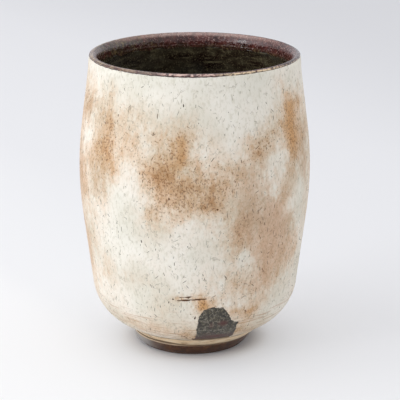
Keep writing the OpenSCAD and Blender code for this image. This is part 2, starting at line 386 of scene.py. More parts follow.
# %% [markdown]
# ## White slip with a blush
#
# Slip is liquid clay. This white one hides the dark clay, and the fire turned it pinkish tan where it is thin or where
# the flame licked it. The blush lies in soft patches with a few crisp edges, streaked downwards where the slip ran, and
# is full of tiny brown grains. The patches are kept on the vertices, and noise gives them their edges: the two are
# added before the colours are looked up.

# %% The slip's finish
slip = Finish("white_slip_blushed", IOR=1.45, Specular_IOR_Level=0.12)
blush, ember, rose, thin, turned = (slip.value(n) for n in ("blush", "ember", "rose", "thin", "turned"))
streaks = slip.noise(2.2, 3.0, 0.6, (1, 1, 4))
wash = slip.noise(7.0, 6.0, 0.7, (1, 1, 1.3), 0.3)
grain = slip.noise(1.3, 3.0, 0.65, (1, 1, 1.4))
fine = slip.noise(0.62, 2.0, 0.6, (1, 1, 1.15), shift=0.2)
milk = slip.noise(16.0, 3.0, 0.5, shift=0.3)
edge = slip.sway(grain, 0.52, slip.sway(wash, 1.02, slip.sway(streaks, 0.32)))
near = slip.times(slip.span(blush, 0.0, 0.32, 0.1, 1.0), slip.span(turned, 0.0, 1.0, 1.0, 0.4))
depth = slip.do("MULTIPLY_ADD", edge, near, blush)
slip.base = slip.ramp(depth, (0.0, "F0ECE1"), (0.14, "ECE3D5"), (0.34, "E5D4BF"), (0.56, "D7BA9C"), (0.8, "BF9770"),
                      (1.0, "A07351"))
slip.lay("CFA06C", slip.times(ember, slip.span(depth, 0.1, 0.7)))
slip.lay("CFB29A", slip.times(rose, slip.span(depth, 0.1, 0.5, 0.0, 0.8)))
slip.lay("E0E1D8", slip.span(milk, 0.38, 0.66, 0.0, 0.45), "MULTIPLY")
slip.lay("DEDCD2", slip.span(slip.noise(0.8, 3.0, 0.6, (1, 1, 2)), 0.47, 0.68, 0.0, 0.5), "MULTIPLY")

# %% Freckles, turning lines, crazing and bare places in the slip
freckles = slip.span(slip.do("MULTIPLY_ADD", blush, 0.17, fine), 0.63, 0.73)
freckles = slip.times(freckles, slip.span(rose, 0.0, 0.8, 1.0, 0.3))
slip.lay("7E5839", slip.times(freckles, slip.span(depth, 0.05, 0.6, 0.06, 0.66)))
turning = slip.times(turned, slip.span(slip.noise(1.5, 3.0, 0.65, (7, 7, 0.4)), 0.53, 0.62))
slip.lay("B48A62", slip.times(turning, 0.55))
crazing = slip.times(slip.cracks(3.6, 0.17, 2.0, (1, 1, 1.9)), slip.span(slip.noise(2.6, 2.0, shift=0.6), 0.54, 0.6))
slip.lay("8C816B", slip.times(crazing, slip.span(depth, 0.0, 0.5, 0.42, 0.3)))
slip.lay("5E422F", slip.span(slip.sway(grain, 1.3, thin), 0.42, 0.62))
slip.bumps((slip.noise(4.0, 2.0), 0.14), (grain, 0.05), (fine, 0.03))
slip.set(Roughness=slip.span(depth, 0.0, 0.8, 0.46, 0.58))
slip.done()

# %% The dark clay
clay = Finish("dark_iron_clay", Roughness=0.85)
grog = clay.noise(0.5, 3.0, 0.6)
clay.base = clay.ramp(clay.noise(4.0, 3.0), (0.3, "4A3529"), (0.55, "5F4636"), (0.75, "735845"))
clay.lay("2A1D16", clay.span(grog, 0.62, 0.7))
level = clay.put("ShaderNodeVectorMath", {0: clay.spot, 1: (1.0, 1.0, 0.0)}, operation="MULTIPLY")
from_axis = clay.put("ShaderNodeVectorMath", {0: level}, operation="LENGTH").outputs["Value"]
RINGS_PER_METRE = 1400.0
rings = clay.put("ShaderNodeTexNoise", {
    "W": clay.times(from_axis, RINGS_PER_METRE), "Scale": 1.0}, noise_dimensions="1D").outputs[0]
clay.lay("3B2A20", clay.span(rings, 0.5, 0.7, 0.0, 0.4))
clay.bumps((rings, 0.2), (grog, 0.06), (clay.noise(1.4, 2.0), 0.08))
clay.done()

# %% [markdown]
# ## Dark glazes
#
# The glaze is one recipe that shows four faces: reddish brown where it is thin over the lip, olive black where it
# pooled inside, grey green in the finger mark, and iron brown on the foot. All are glass with iron crystals in it, so
# they share one recipe here too: a mottle of colours, fine crystals over it, and a gloss that the crystals break.


# %% One glaze recipe
def glaze(name, mottle, shades, crystal, crystal_share=0.5, gloss=0.16, orange_peel=0.03, stretch=(1, 1, 1.5),
          coat=0.35, coat_rough=0.12, shine=0.5):
    """A finish with its mottle and crystals laid, for more colours to go over."""
    mix = Finish(name, IOR=1.52, Specular_IOR_Level=shine, Coat_Weight=coat, Coat_Roughness=coat_rough)
    broad = mix.noise(mottle, 4.0, 0.65, stretch, 0.4)
    fine = mix.noise(0.6, 2.0, 0.6)
    mix.base = mix.ramp(broad, *zip(np.linspace(0.28, 0.72, len(shades)).tolist(), shades))
    dots = mix.span(fine, 0.50 + 0.1 * (1 - crystal_share), 0.66)
    mix.lay(crystal, mix.times(dots, crystal_share))
    mix.bumps((mix.noise(1.8, 2.0), orange_peel * 2), (fine, orange_peel))
    mix.set(Roughness=mix.span(dots, 0.0, 1.0, gloss, gloss + 0.22))
    return mix


# %% The foot's glaze
foot_glaze = glaze("iron_foot_glaze", 2.2, ("2C1509", "46260F", "5E3A1A"), "7A5A33", 0.3, 0.28, coat=0.25,
                   coat_rough=0.05, shine=0.3)
# Pale grey where the stain says: at the foot's left it is a painted reflection, behind the foot a fainter grey patch.
foot_glaze.lay("9C9A97", "ash")
foot_glaze.lay("C9B498", "thin")
foot_glaze.done()

# %% The finger mark's glaze
mark = glaze("grey_green_glaze", 1.5, ("15110C", "302B21", "4D4637"), "948A70", 0.36, 0.45, 0.08, coat=0.08)
scratches = mark.times(mark.cracks(1.1, 0.2, 1.0, (1, 1, 1.6)), mark.span(mark.noise(1.3, 2.0), 0.46, 0.56))
mark.lay("B5AD9A", mark.times(scratches, 0.38))
mark.lay("4C1E16", "rust")
mark.done()

# %% The liner's glaze
liner = glaze("olive_black_glaze", 5.0, ("170C0A", "241711", "3E3628", "54503F"), "7F7353", 0.44, 0.14, 0.08,
              (1.6, 1.6, 0.7))
# Lighter lines along the throwing rings: a painted highlight on the glaze over the rings.
rings = liner.times(liner.span(liner.noise(1.1, 2.0, 0.5, (9, 9, 0.7)), 0.48, 0.62),
                    liner.span(liner.noise(6.0, 3.0, 0.6), 0.42, 0.6))
liner.lay("70684E", liner.times(rings, 0.7))
liner.lay("4A4C44", liner.span(liner.noise(20.0, 2.0, shift=0.4), 0.45, 0.65, 0.0, 0.4))
liner.lay("2A1512", liner.span(liner.noise(1.6, 3.0, 0.6, (1, 1, 3.5), shift=0.5), 0.55, 0.7, 0, 0.6))
liner.lay("6A6A60", "haze")
liner.done()

# %% The lip's glaze, which changes round the rim
lip = glaze("red_brown_lip_glaze", 2.0, ("260F0E", "461E1A", "6A3831"), "B8958A", 0.5, 0.12, 0.15, coat=0.3,
            coat_rough=0.07, shine=0.4)
olive = lip.value("olive")
lip.lay("3E3526", lip.times(olive, 0.8))
lip.lay("87754F", lip.times(olive, lip.span(lip.noise(1.1, 2.0, 0.6), 0.54, 0.64, 0.0, 0.75)))
lip.lay("A08C70", "smoke")
# The pale stain is painted light: a rosy highlight at the front of the rim and a sheen along the back crest.
lip.lay("D2AFA2", "pale")
lip.lay("E6CDA8", "ochre")
lip.lay("37211A", lip.times(lip.value("line"), 0.85))
lip.done()

# %% [markdown]
# ## The slip wall
#
# The slip coat is a thin shell, thrown with fine rows near the foot, where the finger mark and the tool drags are, and
# with wider ones above. The window that the finger wiped is not cut out: the skin dives under the glaze that shows
# there, which gives a crisp and ragged edge with no boolean.

# %% Throw the slip wall. The last number of each stretch is its count of rows
FRONT_FINE = {"columns": 480, "crowding": 0.58}
WOBBLE, OVER_LIP = 0.12 * MM, radians(42)
slip_out = np.vstack([hip_line(0, 76), wall_line(0, HIP_Z, 30, 27)[1:], wall_line(0, 30, lip_end_z, 80)[1:],
                      arc(lip_c, LIP_R, LEAN_UP, LEAN_UP + OVER_LIP, 9)[1:]])
slip_in = np.vstack([hip_line(SLIP, 5), wall_line(SLIP, HIP_Z + 1, lip_end_z, 9)])
slip_wall = throw("slip_wall", [slip_out, slip_in[::-1]], slip, **FRONT_FINE, wobble=WOBBLE, lines=0.05 * MM,
                  line_pitch=1.6 * MM)

# %% [markdown]
# ## Where the fire touched the slip
#
# Each patch is a soft oval: its turn from the front, its height, half its width in degrees, half its height in
# millimetres, and how strong it is. The places are warped by noise first, so that no oval can be seen. White patches
# come last and wash the blush out. The patches behind go on in the same way as those in front.

# %% Patches of blush
BLUSH = [
    (-80, 62, 9, 30, .42), (-72, 91, 8, 6, .36), (-72, 67, 8, 7, .34), (-78, 33, 9, 16, .26), (-32, 13.5, 24, 3.6, .18),
    (-22, 70, 30, 16, .06), (36, 58, 34, 24, .07), (-46, 20, 32, 12, .07), (20, 21, 40, 9, .12), (15, 52, 6, 7, .16),
    (33, 46, 6, 8, .42), (15, 27, 7, 3, .2), (130, 60, 50, 30, .1), (-130, 58, 50, 30, .1),
    (-67, 89, 11, 5, .34), (-54, 86, 12, 7, .16), (-47, 76, 7.5, 8, .76), (-57, 72, 7, 8, .28), (-53, 61, 7, 9, .24),
    (-38, 80, 11, 8, .27), (-27, 80, 10, 8, .12), (-48, 94, 3, 5, .16), (-66, 60, 9, 9, .24),
    (-19, 76, 8, 8, .27), (-8, 78, 6, 7, .6), (-14, 67, 9, 7, .74), (-20, 59, 7, 7, .28), (-8, 58, 9, 6, .4),
    (2, 68, 9, 7, .42), (6, 60, 5, 5, .6), (14, 68, 8, 7, .4), (4, 84, 14, 5, .16), (-2, 88, 3, 3, .16),
    (24, 70, 6, 7, .22), (25, 51, 6, 9, .66), (43, 55, 11, 10, .46),
    (43, 41, 13, 9, .36), (37, 31, 9, 7, .48), (20, 33, 5, 6, .12), (35, 77, 5.5, 6, .74), (44, 82, 9, 5, .42),
    (57, 81, 6, 8, .74), (52, 95, 3, 5, .28), (67, 85, 8, 8, .5), (68, 68, 9, 9, .22), (55, 66, 10, 9, .24),
    (53, 43, 11, 10, .38), (62, 36, 9, 7, .08),
    (-67, 44, 9, 10, .12), (-55, 32, 9, 7, .16), (-36, 33, 14, 4, .2), (-42, 16, 18, 5, .08), (-22, 13, 14, 4, .14),
    (-20, 23, 8, 3, .08), (5, 24.4, 4.4, 2.6, .72), (30, 19.5, 4.6, 2.4, .5), (22, 21, 4, 2, .42),
    (-4, 26.8, 7, 1.0, .22), (-9, 26.8, 2.4, 1.4, .18), (38, 11, 14, 3, .44), (0, 10, 8, 2, .3), (-5, 12, 3, 3.6, .36),
    (0, 11, 3, 2.6, .25), (28, 13, 5, 3, .4), (12, 34, 10, 5, .14), (6, 44, 16, 8, .09),
    # behind
    (95, 78, 11, 12, .5), (118, 62, 13, 10, .6), (140, 74, 9, 8, .74), (104, 40, 13, 10, .42), (160, 55, 13, 11, .5),
    (178, 72, 10, 9, .42), (-160, 64, 13, 10, .6), (-142, 78, 10, 8, .7), (-120, 60, 12, 11, .5), (-100, 74, 9, 9, .46),
    (-130, 36, 14, 8, .42), (-98, 28, 13, 9, .36), (150, 26, 15, 7, .34), (-170, 34, 11, 7, .34), (92, 20, 17, 5, .3),
    (-150, 14, 30, 4, .34), (130, 12, 26, 4, .3), (-90, 90, 9, 6, .34), (165, 90, 10, 5, .3), (85, 55, 10, 12, .3)]
WHITES = [
    (-70, 79, 3.6, 4.5, .7), (43, 72, 6, 5, .85), (61, 57, 8, 6, .85), (26, 40, 6, 5, .75), (-6, 69.5, 2.6, 1.8, .6),
    (-38, 61, 9, 11, .85), (-38, 45, 12, 9, .85), (-2, 43, 13, 8, .75), (-33, 24, 9, 5, .85), (22, 87, 14, 6, .85),
    (50, 20, 12, 5, .7), (125, 84, 10, 6, .7), (-110, 86, 9, 6, .7), (150, 44, 9, 7, .8)]
EMBERS = [(-8, 78, 6, 8, .5), (57, 82, 6, 9, .8), (5, 24.4, 5, 2.6, .9), (30, 19.5, 6, 3, .7), (-6, 26.8, 8, 1.6, .9),
          (-26, 14, 24, 6, .5), (-48, 75, 8, 10, .3), (140, 74, 8, 8, .5), (-142, 78, 9, 8, .6)]
ROSES = [(31, 58, 12, 12, .7), (44, 48, 16, 16, .85), (68, 69, 9, 9, .7), (36, 32, 9, 8, .4), (-54, 62, 8, 10, .4),
         (-62, 88, 12, 6, .3), (-78, 50, 12, 40, .6), (118, 60, 12, 12, .6), (-120, 60, 11, 12, .6)]

# %% Stain the wall with them
turn_s, r_s, z_s, co_s = places(slip_wall)
warp_turn = cloud(co_s, 10, 1) * 4.0 + cloud(co_s, 2.6, 2) * 1.6
warp_z = cloud(co_s, 10, 3) * 4.0 + cloud(co_s, 2.6, 4) * 2.0
upper = ease(z_s, 30, 36)
turn_w, z_w = turn_s + warp_turn * (0.4 + 0.6 * upper), z_s + warp_z * (0.25 + 0.75 * upper)
blushed = ovals(BLUSH, turn_w, z_w, 0.75) * (1 - 0.9 * ovals(WHITES, turn_w, z_w, 0.95))
stain(slip_wall, "blush", blushed)
stain(slip_wall, "ember", ovals(EMBERS, turn_w, z_w))
stain(slip_wall, "rose", ovals(ROSES, turn_w, z_w))
stain(slip_wall, "turned", ease(24 - z_w, 0, 8))
print(f"blush covers {(blushed > 0.3).mean():.2f} of the wall")

# %% [markdown]
# ## The finger mark and the tool drags
#
# The potter held the cup by its foot to dip it, and one finger kept the slip off: a window with a round top, as wide
# as a fingertip, and a smear at its side. Just above it a straight tool dragged twice through the wet slip. Both are
# worked into the vertices: the distance to the window's edge says where the skin dives, and a thin line says where
# the drag bites.

# %% The window's outline, the drags and the thin places
MARK_TURN, FAR = 13.3, 99.0
WINDOW = [(-6.2, 5.5), (-6.7, 11), (-7.0, 14.5), (-7.0, 18.0), (-6.7, 20.4), (-5.4, 22.4), (-2.6, 23.4), (1.2, 23.0),
          (3.0, 21.5), (3.9, 19.5), (4.6, 17.6), (6.0, 17.0), (7.5, 16.4), (6.8, 14.9), (7.0, 12.5), (6.8, 10),
          (6.4, 5.5)]
DRAGS = [((-9.0, 27.1), (2.2, 27.7), 0.25), ((-10.4, 25.9), (9.2, 26.9), 0.42)]
BARE = [(-5.5, 11.2, 2.4, 3.2, .8), (-8, 14, 3, 5, .4), (0, 9, 3, 2, .8), (-12, 27.9, 1.0, 1.6, .6),
        (29, 12, 3, 4, .5), (31, 18.5, 3.5, 2, .35)]


def outline_distance(points, x, z):
    """Distance to a closed outline, below zero inside it."""
    far, inside = np.full(len(x), FAR), np.zeros(len(x), bool)
    for (ax, az), (bx, bz) in zip(points, points[1:] + points[:1]):
        t = np.clip(((x - ax) * (bx - ax) + (z - az) * (bz - az)) / ((bx - ax) ** 2 + (bz - az) ** 2), 0, 1)
        far = np.minimum(far, np.hypot(x - ax - t * (bx - ax), z - az - t * (bz - az)))
        crosses = (az > z) != (bz > z)
        inside ^= crosses & (x < ax + (z - az) * (bx - ax) / np.where(bz == az, 1, bz - az))
    return np.where(inside, -far, far)


def window_distance(co):
    """Distance to the window's edge in millimetres, seen straight from the window's own front."""
    turn = radians(MARK_TURN)
    side = cos(turn) * co[:, 0] + sin(turn) * co[:, 1]
    front = -sin(turn) * co[:, 0] + cos(turn) * co[:, 1] < 0
    return np.where(front, outline_distance(WINDOW, side, co[:, 2]), FAR)


def drag_depth(turn, z, co):
    """How deep the drags bite, in millimetres."""
    cut = np.zeros(len(turn))
    for (a0, z0), (a1, z1), bite in DRAGS:
        t = (turn - a0) / (a1 - a0)
        line = z0 + (z1 - z0) * t
        skip = 0.85 + 0.4 * cloud(co, 1.1, 9, 1)
        ends = ease(t, -0.02, 0.12) * ease(1 - t, -0.02, 0.3)
        cut = np.maximum(cut, bite * ends * np.clip(skip, 0.2, 1.1) * ease(0.34 - abs(z - line), 0, 0.22))
    return cut


# %% Carve them, and swell the slip under the lip's glaze
PROUD, SWELLS, SLIP_ENDS = 0.24, (97.5, 101.0), (7.8, 101.6)
outer = r_s > outside_r(np.clip(z_s, *SLIP_ENDS)) - 0.3
lip_swell = np.where(outer, PROUD * ease(z_s, *SWELLS), 0)
inside = window_distance(co_s) + (cloud(co_s, 0.9, 5, 3) * 0.26 + cloud(co_s, 3.5, 6) * 0.2)
brim = 0.05 * ease(-inside, -1.0, -0.25) * ease(inside, 0.0, 0.3)
dive = np.where(outer, (SLIP - 0.04) * ease(-inside, -0.12, 0.16) - brim, 0)
drags = np.where(outer & (abs(turn_s) < 30), drag_depth(turn_s, z_s, co_s), 0)
hip_turn = np.clip((hip_c[1] - z_s) / HIP_R, sin(LEAN_DOWN), sin(HIP_END))
out_way = outward(co_s) * np.sqrt(1 - hip_turn ** 2)[:, None] - [0, 0, 1] * hip_turn[:, None]
set_places(slip_wall, co_s - out_way * (dive + drags - lip_swell)[:, None])
hem = 0.62 * ease(groove[1] + 0.45 + 0.3 * cloud(co_s, 3, 8) - z_s, 0, 0.4) * outer
stain(slip_wall, "thin", np.maximum.reduce([ease(drags, 0.1, 0.25), 0.66 * ovals(BARE, turn_w, z_w), hem]))
print(f"window: {(inside < 0).sum()} vertices under the glaze; drags reach {drags.max():.2f} mm")

# %% [markdown]
# ## The glaze in the window
#
# What shows in the window is a thinner glaze on the clay. It is a curved slab behind the slip, larger than the
# window, so the slip's ragged edge frames it. A slab can't be thrown: it is a front grid, a back grid and a rim.

# %% A closed slab, and where it bends round the hip
PATCH_TURNS, PATCH_TOP, MARK_THICK = np.radians(np.linspace(-9, 32, 140)), 25.5, 0.3


def patch_sheet(depth):
    line = np.vstack([hip_line(depth, 54), wall_line(depth, HIP_Z, PATCH_TOP, 10)[1:]])
    return np.array([(r * sin(t), -r * cos(t), z) for t in PATCH_TURNS for r, z in line])


def closed_slab(name, front, back, columns, finish):
    """A slab with a front and a back grid, closed all round its rim."""
    rows = len(front) // columns

    def at(i, j, side):
        return side * len(front) + i * rows + j
    faces = [(at(i, j, 0), at(i + 1, j, 0), at(i + 1, j + 1, 0), at(i, j + 1, 0))
             for i in range(columns - 1) for j in range(rows - 1)]
    faces += [tuple(v + len(front) for v in reversed(f)) for f in faces]
    rim = [(i, 0) for i in range(columns)] + [(columns - 1, j) for j in range(1, rows)]
    rim += [(i, rows - 1) for i in range(columns - 2, -1, -1)] + [(0, j) for j in range(rows - 2, 0, -1)]
    for (a, b), (c, d) in zip(rim, rim[1:] + rim[:1]):
        faces.append((at(c, d, 0), at(a, b, 0), at(a, b, 1), at(c, d, 1)))
    piece = new_piece(name, np.vstack([front, back]) * MM, (), faces)
    piece.data.shade_smooth()
    piece.data.materials.append(finish.material)
    return piece


# %% Make the finger patch and rust its rim
RUST = [(16.2, 16.8, 2.6, 1.2, 1), (9.5, 16.2, 1.4, 1.2, .6), (14, 10.6, 7, .9, .6), (8, 12.4, 4, .5, .4)]
front = patch_sheet(SLIP - MARK_THICK)
swipe = 0.05 * cloud(front, 2.0, 11, 3, stretch=0.5)
front -= front / np.linalg.norm(front, axis=1)[:, None] * swipe[:, None]
finger_patch = closed_slab("finger_patch", front, patch_sheet(SLIP), len(PATCH_TURNS), mark)
turn_f, _, z_f, co_f = places(finger_patch)
low_rust = (0.55 + 0.6 * cloud(co_f, 1.0, 13, 2, 0.3)) * ease(12.5 - z_f, 0, 3.0)
stain(finger_patch, "rust", 0.95 * ovals(RUST, turn_f + 0.6 * cloud(co_f, 1.5, 12), z_f, 1.5) + low_rust)
print("finger patch:", len(finger_patch.data.polygons), "faces")

# %% [markdown]
# ## The lip
#
# The lip is round outside and slopes inside. Its glaze ends outside in a ragged line on the slip, and inside some five
# millimetres down, where it tucks under the rolled edge of the liner glaze. It is thrown like the wall, and its swell
# and its ragged ends are worked into the vertices after.

# %% Throw the lip's roll of glaze
LIP_FOOT_Z, LIP_EDGE_Z, UNDERLAP = CREST_Z - LIP_SLOPE, CREST_Z - 5.3, 1.2
RING_LOW, RING_PITCH, RING_COUNT = 25.25, 7.5, 9


def lip_slope(grow, count):
    """From the crest down to the inner wall: a quarter of a tall ellipse that leans as the wall leans."""
    fall = LIP_SLOPE - grow
    run = lip_c[0] + fall * tan(LEAN_UP) - wall_r(LIP_FOOT_Z, WALL - grow)
    turn = np.linspace(0, pi / 2, count)
    down = fall * (1 - np.cos(turn))
    return np.c_[lip_c[0] - run * np.sin(turn) + down * tan(LEAN_UP), CREST_Z - grow - down]


def inner_wall(from_z, to_z, depth, count, ring=0.0):
    """The inside of the wall, with the rings that the potter's fingers left, ring millimetres deep."""
    z = np.linspace(from_z, to_z, count)
    ringed = (z > RING_LOW) & (z < RING_LOW + RING_COUNT * RING_PITCH)
    wave = np.where(ringed, (1 - np.cos(2 * pi * (z - RING_LOW) / RING_PITCH)) / 2, 0)
    return np.c_[wall_r(z, depth) + ring * wave, z]


lip_out = np.vstack([arc(lip_c, LIP_R - 0.14, LEAN_UP - 0.1, LEAN_UP + OVER_LIP, 12),
                     arc(lip_c, LIP_R, LEAN_UP + OVER_LIP + 0.06, pi / 2, 9)])
lip_in = np.vstack([lip_slope(0, 34)[1:], inner_wall(LIP_FOOT_Z, LIP_EDGE_Z - UNDERLAP, WALL, 14)[1:]])
lip_back = np.vstack([inner_wall(LIP_EDGE_Z - UNDERLAP, LIP_FOOT_Z, WALL - LINER, 4), lip_slope(LINER, 6)[::-1],
                      arc(lip_c, LIP_R - LINER, pi / 2, LEAN_UP - 0.1, 4)[1:]])
lip_roll = throw("lip_roll", [lip_out, lip_in, lip_back], lip, **FRONT_FINE, wobble=WOBBLE)

# %% Where each vertex lies on the lip
turn_l, r_l, z_l, co_l = places(lip_roll)
ring = co_l * [1, 1, 0]
from_c = np.c_[r_l - lip_c[0], z_l - lip_c[1]]
out_from_c = np.hypot(from_c[:, 0], from_c[:, 1])
over = np.degrees(np.arctan2(from_c[:, 1], from_c[:, 0]))  # degrees round the lip: 0 is outside, 90 is the crest
on_skin = out_from_c > LIP_R - 0.25
rim_side = on_skin & (from_c[:, 0] > -0.05) & (z_l > 101.2)
right = ease(turn_l, 8, 20) * ease(100 - turn_l, 0, 30)
far_right = ease(turn_l, 44, 60)
left = ease(-turn_l, 14, 30) * ease(150 + turn_l, 0, 40)
edge_over = 24 + 6 * cloud(ring, 1.6, 21, 3) + 5 * cloud(ring, 8, 22) + 14 * right + 3 * left
past_edge = over - edge_over

# %% Swell the lip's glaze and make its ends ragged
rise = np.where(rim_side, 0.30 * ease(past_edge, -4.0, 4.0) - 0.2 * ease(over, 45, 52), 0)
rise += np.where(z_l > 100, PROUD * ease(from_c[:, 0], -0.9, 0.3), 0)
lumps = np.where(on_skin, 0.05 * cloud(co_l, 1.5, 25, 2), 0)
way = outward(co_l) * (from_c[:, :1] / out_from_c[:, None])
way[:, 2] = from_c[:, 1] / out_from_c
on_inner_wall = (z_l < LIP_FOOT_Z + 0.5) & (r_l < wall_r(z_l, WALL - 0.2))
inner_end = LIP_EDGE_Z + 0.3 + 0.8 * cloud(ring, 5, 27)
tuck = np.where(on_inner_wall, 0.08 - 0.3 * ease(inner_end - z_l, -0.25, 0.25), 0)
set_places(lip_roll, co_l + way * (rise + lumps)[:, None] - outward(co_l) * tuck[:, None])
print(f"the lip's glaze stands {rise.max():.2f} mm proud")

# %% [markdown]
# ## The colours of the rim
#
# The fire coloured the rim unevenly: brown with tan strokes at the front left, a cream line with dark dashes at the
# right, olive at the back left. A rosy pale streak at the front and a paler back crest are a painted highlight and a
# painted sheen. Each is a stain on the vertices, bounded by the turn round the cup and the angle over the lip, and
# broken up by noise.

# %% Stain the lip round its rim
outside = ease(70 - over, 0, 14) * rim_side
stain(lip_roll, "ochre", 0.95 * outside * right * ease(cloud(co_l, 0.8, 23, 2) - 0.35 * far_right, -0.45, -0.2)
      * (1 - 0.9 * far_right * ease(past_edge, 6, 11)))
strokes = ease(0.5 * np.sin(over / 4.5) + cloud(ring, 1.4, 29, 2), -0.5, 0.5)
stain(lip_roll, "smoke", (0.45 + 0.45 * ease(-turn_l, 32, 46)) * left * rim_side * strokes)
# A painted highlight: a rosy pale streak on the front of the rim.
painted_highlight_front = (0.9 * ease(80 - over, 0, 15) * (over > 20) * ease(turn_l, -22, -12) * ease(16 - turn_l, 0, 8)
              * ease(cloud(co_l, 1.4, 24, 2), -0.35, 0.15) * ease(past_edge, 8, 16))
# A painted sheen: the back crest made paler, as where the glaze catches the light.
painted_sheen_back = (0.36 * ease(abs(turn_l), 112, 140) * ease(z_l, CREST_Z - 1.2, CREST_Z - 0.1)
             * (0.8 + 0.5 * cloud(co_l, 1.2, 32, 3)))
stain(lip_roll, "pale", np.maximum(painted_highlight_front, painted_sheen_back))
burnt = (0.9 * far_right * ease(past_edge, 7, 12) * ease(104 - over, 0, 10)
         * ease(cloud(co_l, 1.0, 34, 2), -0.5, -0.1))
hairline = ease(14 - 9 * right - past_edge, 0, 6) * ease(cloud(co_l, 1.1, 26, 2) + 0.35, -0.1, 0.2)
dashes = (right * ease(cloud(co_l, 0.7, 30, 2), 0.16, 0.3) * (over < 80)
          * ease(edge_over + 19 + 20 * far_right - over, 0, 4))
stain(lip_roll, "line", rim_side * np.maximum.reduce([burnt, hairline, dashes]))
low_olive = 0.7 * ease(LIP_FOOT_Z + 0.6 + 0.8 * cloud(ring, 4, 28, 3) - z_l, -0.8, 1.2)
back_left = 0.9 * ease(-turn_l, 78, 108) * ease(180 + turn_l, 5, 45) * ease(cloud(co_l, 2.0, 31, 3), -0.45, 0.1)
stain(lip_roll, "olive", np.where(r_l < lip_c[0] - 0.2, np.maximum(low_olive, back_left),
                                  back_left * (r_l < lip_c[0] + 0.4)))

# %% [markdown]
# ## The inside
#
# The liner glaze was poured in and out again. It softens the throwing rings of the clay and fills a shallow pool at
# the bottom. Its outline runs from the rolled edge under the lip down to the axis, where the wheel closes it.

# %% Throw the liner glaze
POOL_R, POOL_DEEP = 11.0, 0.8
HAZE = [(-118, 89, 26, 7, 0.6), (60, 80, 40, 8, 0.25), (160, 84, 26, 5, 0.3)]
pool_ball = (POOL_R ** 2 + POOL_DEEP ** 2) / (2 * POOL_DEEP)
well_c = np.array([wall_r(FLOOR_Z + WELL_R, WALL + WELL_R), FLOOR_Z + WELL_R])
well_top = well_c[1] - WELL_R * sin(LEAN_DOWN)


def well_and_floor(grow, count):
    pool = np.linspace(POOL_R, 0, count)
    dip = np.sqrt(pool_ball ** 2 - pool ** 2) - (pool_ball - POOL_DEEP)
    return np.vstack([arc(well_c, WELL_R + grow, -LEAN_DOWN, -pi / 2, count),
                      np.c_[pool, FLOOR_Z - grow - dip]])


edge_roll = inner_wall(LIP_EDGE_Z + 0.6, LIP_EDGE_Z - 0.7, WALL, 10)
front_line = np.vstack([edge_roll, inner_wall(LIP_EDGE_Z - 0.9, well_top, WALL, 120, 0.25)[:-1], well_and_floor(0, 22)])
back_line = np.vstack([inner_wall(LIP_EDGE_Z + 0.5, well_top, WALL - LINER, 12)[:-1], well_and_floor(LINER, 6)])
inside_glaze = throw("inside_glaze", [front_line, back_line[::-1]], liner, wobble=WOBBLE, lines=0.06 * MM,
                     line_pitch=1.3 * MM)
turn_i, _, z_i, co_i = places(inside_glaze)
stain(inside_glaze, "haze", (0.7 + 0.6 * cloud(co_i, 2.5, 51, 3)) * ovals(HAZE, turn_i, z_i))

# %% [markdown]
# ## The trimmed foot
#
# Upside down on the wheel, the potter cut a groove under the hip, a slanting facet below it and the foot ring, a little
# off the cup's axis. The facet is burned ochre, with painted shade darkening both its corners. The foot bulges
# slightly.
# It was dipped in dark glaze, worn pale on its ledge, and wiped where it stands. A painted reflection lies pale grey on
# its left side, with a fainter grey patch behind. The glaze and the clay inside it are thrown as two pieces, then moved
# and leaned alike.

# %% The ochre band on the facet
FACET_IN, FOOT_IN, FOOT_H = 4.25, 1.5, 4.2
facet_end = np.array([groove[0] - FACET_IN, FOOT_H])
band = Finish("ochre_trimmed_band", Roughness=0.5, Coat_Weight=0.1)
streaks = band.noise(1.2, 3.0, 0.6, (4, 4, 0.35))
band.base = band.ramp(streaks, (0.33, "B0845A"), (0.42, "EACCA2"), (0.6, "F8E6C6"))
band.bumps((streaks, 0.08), (band.noise(0.5), 0.02))
band.lay("AD8A5E", band.span(band.noise(5.0, 3.0), 0.55, 0.7, 0, 0.7))
# Painted shade: the facet is darkened along its corners, by the ledge and under the groove.
band.lay("5B3F26", "corner")
band.done()
slant = groove + (facet_end - groove) * np.linspace(0.045, 1, 16)[:, None]
across = groove - facet_end
slant_back = slant + np.array([-across[1], across[0]]) / np.linalg.norm(across) * SLIP
band_glaze = throw("band_glaze", [slant[::-1], slant_back[[0, 8, 15]]], band, **FRONT_FINE, wobble=0.05 * MM,
                   lines=0.1 * MM, line_pitch=0.5 * MM)
turn_b, _, z_b, co_b = places(band_glaze)
# Painted shade in the facet's two corners, strongest by the ledge at the left.
low_corner_shade = ease(FOOT_H + 1.0 + 0.35 * cloud(co_b, 4, 42) - z_b, 0, 0.4)
stain(band_glaze, "corner", 0.85 * low_corner_shade * (0.3 + 0.7 * ease(-turn_b, 2, 22))
      + 0.7 * ease(z_b - 7.25 + 0.3 * cloud(co_b, 3, 43), 0, 0.3))

# %% The foot's glaze and its clay
FOOT_FLARE, FOOT_GLAZE, EDGE_R, RING_THICK, LEDGE_ROUND, LEDGE_IN = 1.75, 0.4, 0.7, 4.2, 0.3, 2.9
TRIMMED = {"off_axis": -0.95 * MM, "wobble": 0.08 * MM}
foot_r = facet_end[0] - FOOT_IN


def foot_line(z, depth=0.0):
    """Radius of the foot at a height: it flares from the table and stands upright at its ledge."""
    t = np.clip((np.asarray(z, float) - EDGE_R) / (FOOT_H - EDGE_R), 0, 1)
    return foot_r - depth + FOOT_FLARE * (1 - (1 - t) ** 1.7)


